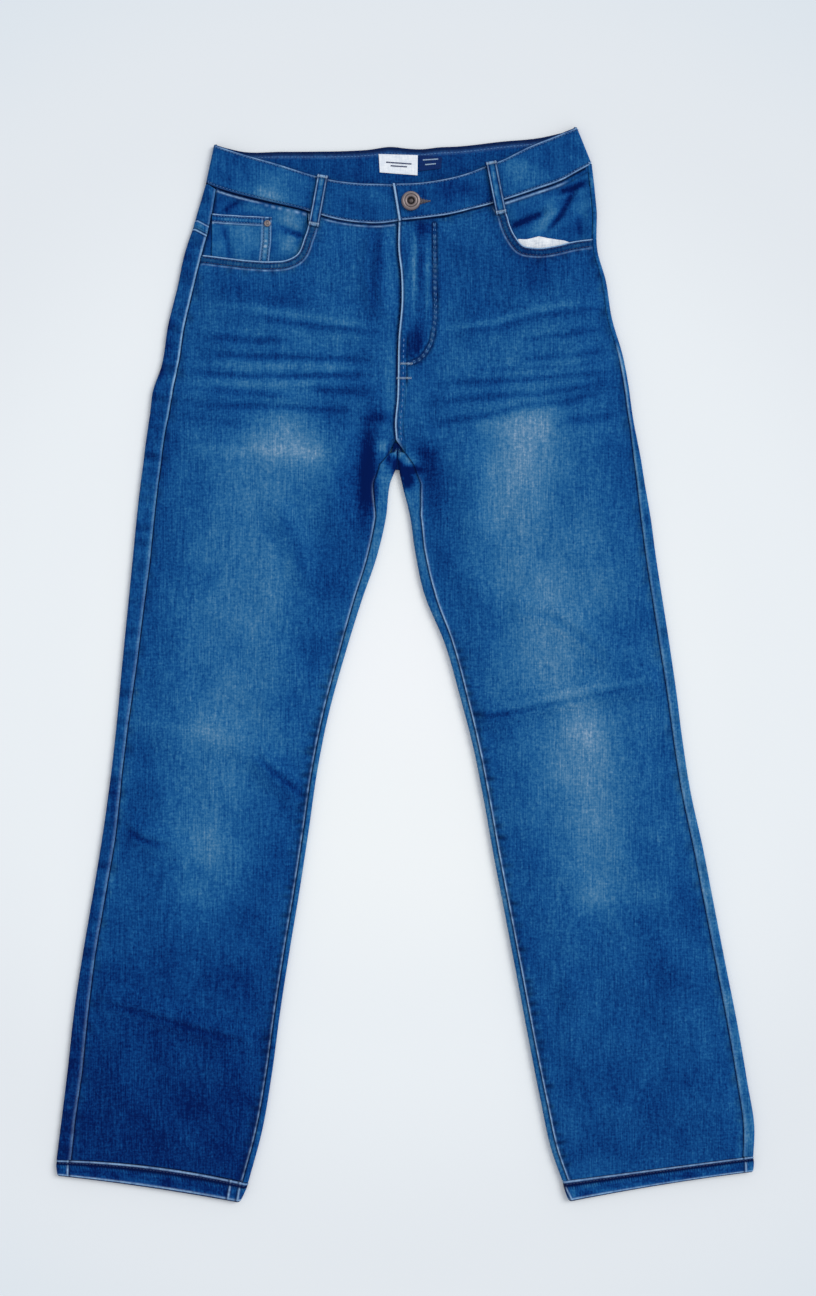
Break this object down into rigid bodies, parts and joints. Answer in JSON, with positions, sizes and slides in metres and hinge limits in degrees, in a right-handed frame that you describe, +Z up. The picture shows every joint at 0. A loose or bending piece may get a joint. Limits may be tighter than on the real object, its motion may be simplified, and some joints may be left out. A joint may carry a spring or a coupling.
{
  "type": "pair of jeans",
  "caption": "Slim straight five-pocket denim trousers lying flat, front up, with button waistband, belt loops, coin pocket and turned hems.",
  "frame": {"origin": "on the surface the jeans lie on, under the middle of their outline", "axes": "+Y from the hems towards the waist, +X towards the wearer's left leg, +Z up out of the front of the jeans"},
  "size_m": [0.629, 0.9677, 0.0119],
  "materials": {
    "denim_front": "washed and faded twill",
    "denim_back": "washed twill",
    "denim_waist": "washed twill, worn edges",
    "denim_facing": "twill, little worn",
    "denim_hem": "dark twill, turned and stitched",
    "pocket_bag": "plain white cotton",
    "label_white": "woven tape, bare",
    "label_blue": "woven tape, bare",
    "metal": "antique dark, worn rim"
  },
  "bodies": {
    "root": {"front_right": "denim_front", "front_left": "denim_front", "back_right": "denim_back", "back_left": "denim_back", "yoke_right": "denim_back", "yoke_left": "denim_back", "waistband": "denim_waist", "pocket_facing_right": "denim_facing", "pocket_facing_left": "denim_facing", "coin_pocket": "denim_front", "pocket_bag_left": "pocket_bag", "belt_loop_front_right": "denim_waist", "belt_loop_front_left": "denim_waist", "hem_right": "denim_hem", "hem_left": "denim_hem", "button": "metal", "coin_rivet": "metal", "label_white": "label_white", "label_blue": "label_blue"}
  },
  "joints": []
}
